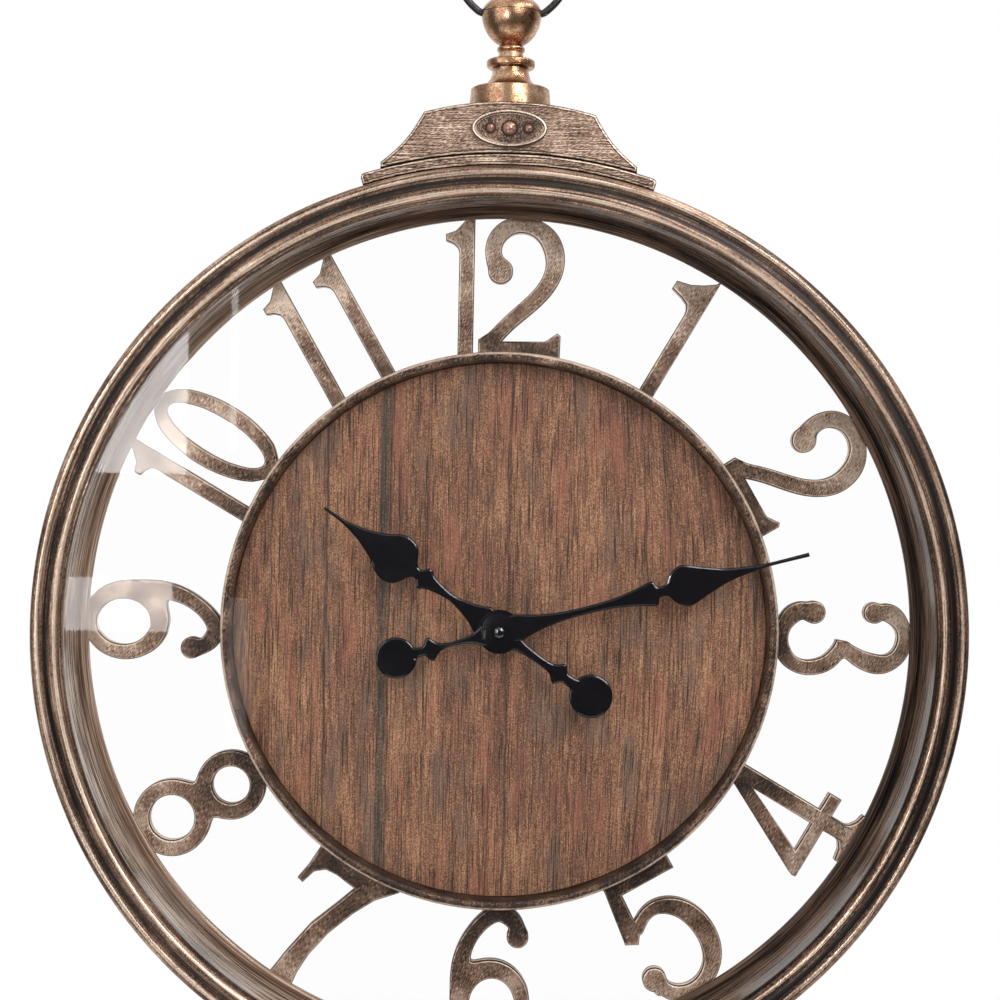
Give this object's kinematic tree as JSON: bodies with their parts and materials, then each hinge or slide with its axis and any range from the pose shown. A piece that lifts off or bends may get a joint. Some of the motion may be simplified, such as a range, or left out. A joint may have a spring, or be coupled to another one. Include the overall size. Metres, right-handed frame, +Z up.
{
  "type": "round wall clock",
  "caption": "Round wall clock with an openwork ring of numbers, a wood centre, two spade hands, a glass lens, a double-beaded case and a crown with a knob and a wire bow.",
  "frame": {"origin": "the nail that the clock hangs on, on the plane of the wall", "axes": "+Z up, +X to the viewer's right, and the front faces -Y, so +Y goes into the wall"},
  "size_m": [0.5078, 0.0765, 0.6556],
  "materials": {
    "bronze_paint": "dark brown with dry-brushed copper, satin",
    "brown_gloss": "glossy",
    "lens_glass": "clear",
    "wood_print": "matt",
    "steel": "satin",
    "black_gloss": "glossy",
    "black_plastic": "matt",
    "white_plastic": "matt",
    "brass": "satin",
    "copper_wire": "satin",
    "board": "satin",
    "rubber": "matt",
    "battery_sleeve": "glossy"
  },
  "bodies": {
    "clock": {"case_ring": "bronze_paint", "openwork_dial": "bronze_paint", "crown_plate": "bronze_paint", "crown_strip": "bronze_paint", "oval_medallion": "bronze_paint", "crown_flange": "bronze_paint", "crown_collar": "bronze_paint", "knob_lower": "bronze_paint", "knob_cap": "bronze_paint", "spacer_sleeve": "brown_gloss", "glass_lens": "lens_glass", "wood_disc": "wood_print", "dial_screw_1": "steel", "dial_screw_2": "steel", "dial_screw_3": "steel", "dial_screw_4": "steel", "dial_screw_5": "steel", "hanger_plate": "steel", "hanger_screw_left": "steel", "hanger_screw_right": "steel", "crown_screw_left": "steel", "crown_screw_right": "steel", "crown_rod": "steel", "washer": "steel", "stator": "steel", "contact_plus": "steel", "contact_minus": "steel", "movement_case": "black_plastic", "rear_cover": "black_plastic", "fixing_nut": "brass", "coil": "copper_wire", "circuit_board": "board", "rubber_gasket": "rubber", "battery": "battery_sleeve"},
    "bow": {"bow": "bronze_paint"},
    "minute_works": {"centre_wheel": "brass", "setting_knob": "white_plastic", "minute_hand": "black_gloss", "hand_nut": "black_gloss"},
    "hour_works": {"hour_wheel": "white_plastic", "hour_hand": "black_gloss"},
    "motion_gear": {"motion_wheel": "white_plastic"},
    "third_gear": {"third_wheel": "white_plastic"},
    "intermediate_gear": {"intermediate_wheel": "white_plastic"},
    "rotor": {"rotor": "steel"}
  },
  "joints": [
    {"name": "minute_turn", "type": "hinge", "parent": "clock", "child": "minute_works", "pos_m": [0, -0.03, -0.242], "axis": [0, 1, 0], "continuous": true},
    {"name": "hour_turn", "type": "hinge", "parent": "clock", "child": "hour_works", "pos_m": [0, -0.03, -0.242], "axis": [0, 1, 0], "continuous": true},
    {"name": "motion_turn", "type": "hinge", "parent": "clock", "child": "motion_gear", "pos_m": [-0.01, -0.014, -0.242], "axis": [0, 1, 0], "continuous": true},
    {"name": "third_turn", "type": "hinge", "parent": "clock", "child": "third_gear", "pos_m": [0.0068, -0.01, -0.23022], "axis": [0, 1, 0], "continuous": true},
    {"name": "intermediate_turn", "type": "hinge", "parent": "clock", "child": "intermediate_gear", "pos_m": [-0.00169, -0.01, -0.22532], "axis": [0, 1, 0], "continuous": true},
    {"name": "rotor_turn", "type": "hinge", "parent": "clock", "child": "rotor", "pos_m": [-0.00869, -0.01, -0.22532], "axis": [0, 1, 0], "continuous": true},
    {"name": "bow_swing", "type": "hinge", "parent": "clock", "child": "bow", "pos_m": [0, -0.042, 0.0997], "axis": [1, 0, 0], "range_deg": [-40, 90]}
  ],
  "couplings": [
    {"joint": "hour_turn", "follows": "minute_turn", "ratio": 0.083333},
    {"joint": "motion_turn", "follows": "minute_turn", "ratio": -0.33333},
    {"joint": "third_turn", "follows": "minute_turn", "ratio": -7.5},
    {"joint": "intermediate_turn", "follows": "minute_turn", "ratio": 45},
    {"joint": "rotor_turn", "follows": "minute_turn", "ratio": -180}
  ]
}
